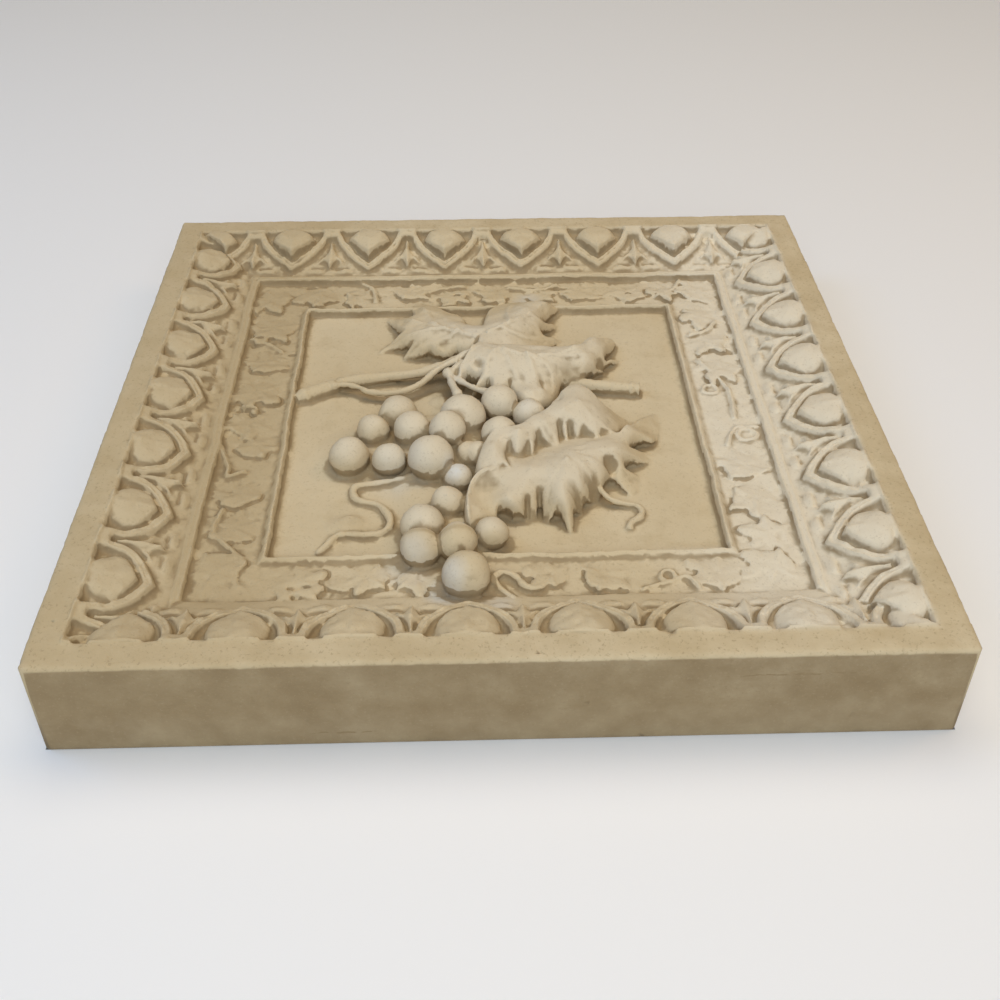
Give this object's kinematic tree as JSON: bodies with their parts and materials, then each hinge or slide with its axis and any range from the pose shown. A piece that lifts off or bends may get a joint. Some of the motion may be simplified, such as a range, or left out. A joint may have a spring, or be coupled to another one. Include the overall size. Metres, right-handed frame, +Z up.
{
  "type": "decorative wall plaque",
  "caption": "Square cast-stone wall plaque: flat rim, egg-and-dart moulding, low ivy frieze, and a grape bunch with vine leaves in high relief on a sunk panel.",
  "frame": {"origin": "centre of the flat back face", "axes": "+Z up the wall, -Y out of the relief, +X to the right as the relief is seen"},
  "size_m": [0.305, 0.0415, 0.305],
  "materials": {
    "cast_stone": "matte"
  },
  "bodies": {
    "root": {"plaque": "cast_stone"}
  },
  "joints": []
}
